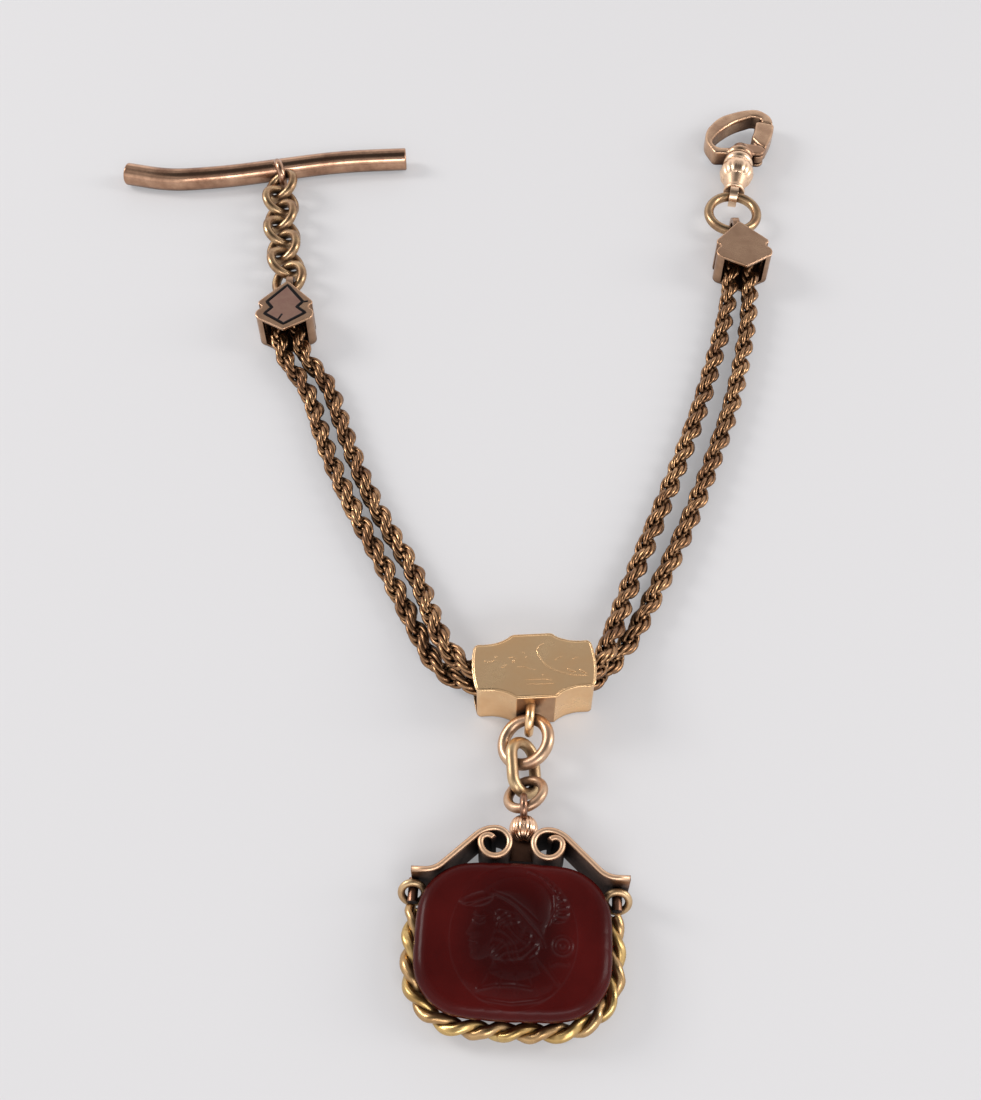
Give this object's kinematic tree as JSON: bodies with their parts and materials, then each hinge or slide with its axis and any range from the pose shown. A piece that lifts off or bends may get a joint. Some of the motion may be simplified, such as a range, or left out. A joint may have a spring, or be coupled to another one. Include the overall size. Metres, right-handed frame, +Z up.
{
  "type": "fob seal on a double rope watch chain",
  "caption": "Vest watch chain of rope chains with a buttonhole bar, a swivel clasp and a carnelian intaglio fob seal hanging from its box slide, lying flat.",
  "frame": {"origin": "on the surface the chain lies on, under the middle of its bounding box", "axes": "+Z up from the surface, +Y from the seal towards the bar and the clasp, +X to the right as seen from above with the seal towards the viewer"},
  "size_m": [0.0853, 0.1207, 0.0054],
  "materials": {
    "rose_metal": "polished rose gilt",
    "yellow_metal": "polished yellow gilt",
    "pale_gold": "polished, engraved",
    "aged_brass": "aged, dark in its crevices",
    "carnelian": "polished stone, engraved"
  },
  "bodies": {
    "chain": {"t_bar": "rose_metal", "t_chain_link_1": "aged_brass", "t_chain_link_2": "aged_brass", "t_chain_link_3": "aged_brass", "t_chain_link_4": "aged_brass", "t_chain_link_5": "aged_brass", "t_chain_link_6": "aged_brass", "t_chain_link_7": "aged_brass", "left_cap": "rose_metal", "rope_inner": "aged_brass", "rope_outer": "aged_brass", "centre_slide": "pale_gold", "drop_ring": "yellow_metal", "drop_link": "yellow_metal", "seal_ring": "rose_metal", "seal_yoke": "rose_metal", "shank_ring_left": "yellow_metal", "shank_ring_right": "yellow_metal", "seal_wire_plain": "rose_metal", "seal_wire_ridged": "yellow_metal", "seal_stone": "carnelian", "right_cap": "rose_metal", "swivel_ring": "aged_brass", "swivel_barrel": "rose_metal"},
    "hook": {"swivel_hook": "rose_metal"},
    "gate": {"swivel_gate": "rose_metal"}
  },
  "joints": [
    {"name": "hook_swivel", "type": "hinge", "parent": "chain", "child": "hook", "pos_m": [0.03779, 0.05332, 0.0021], "axis": [0.1994, 0.9799, 0], "continuous": true},
    {"name": "gate_hinge", "type": "hinge", "parent": "hook", "child": "gate", "pos_m": [0.0398, 0.05189, 0.0021], "axis": [0, 0, 1], "range_deg": [0, 25], "stiffness_Nm_per_rad": 0.0001}
  ]
}
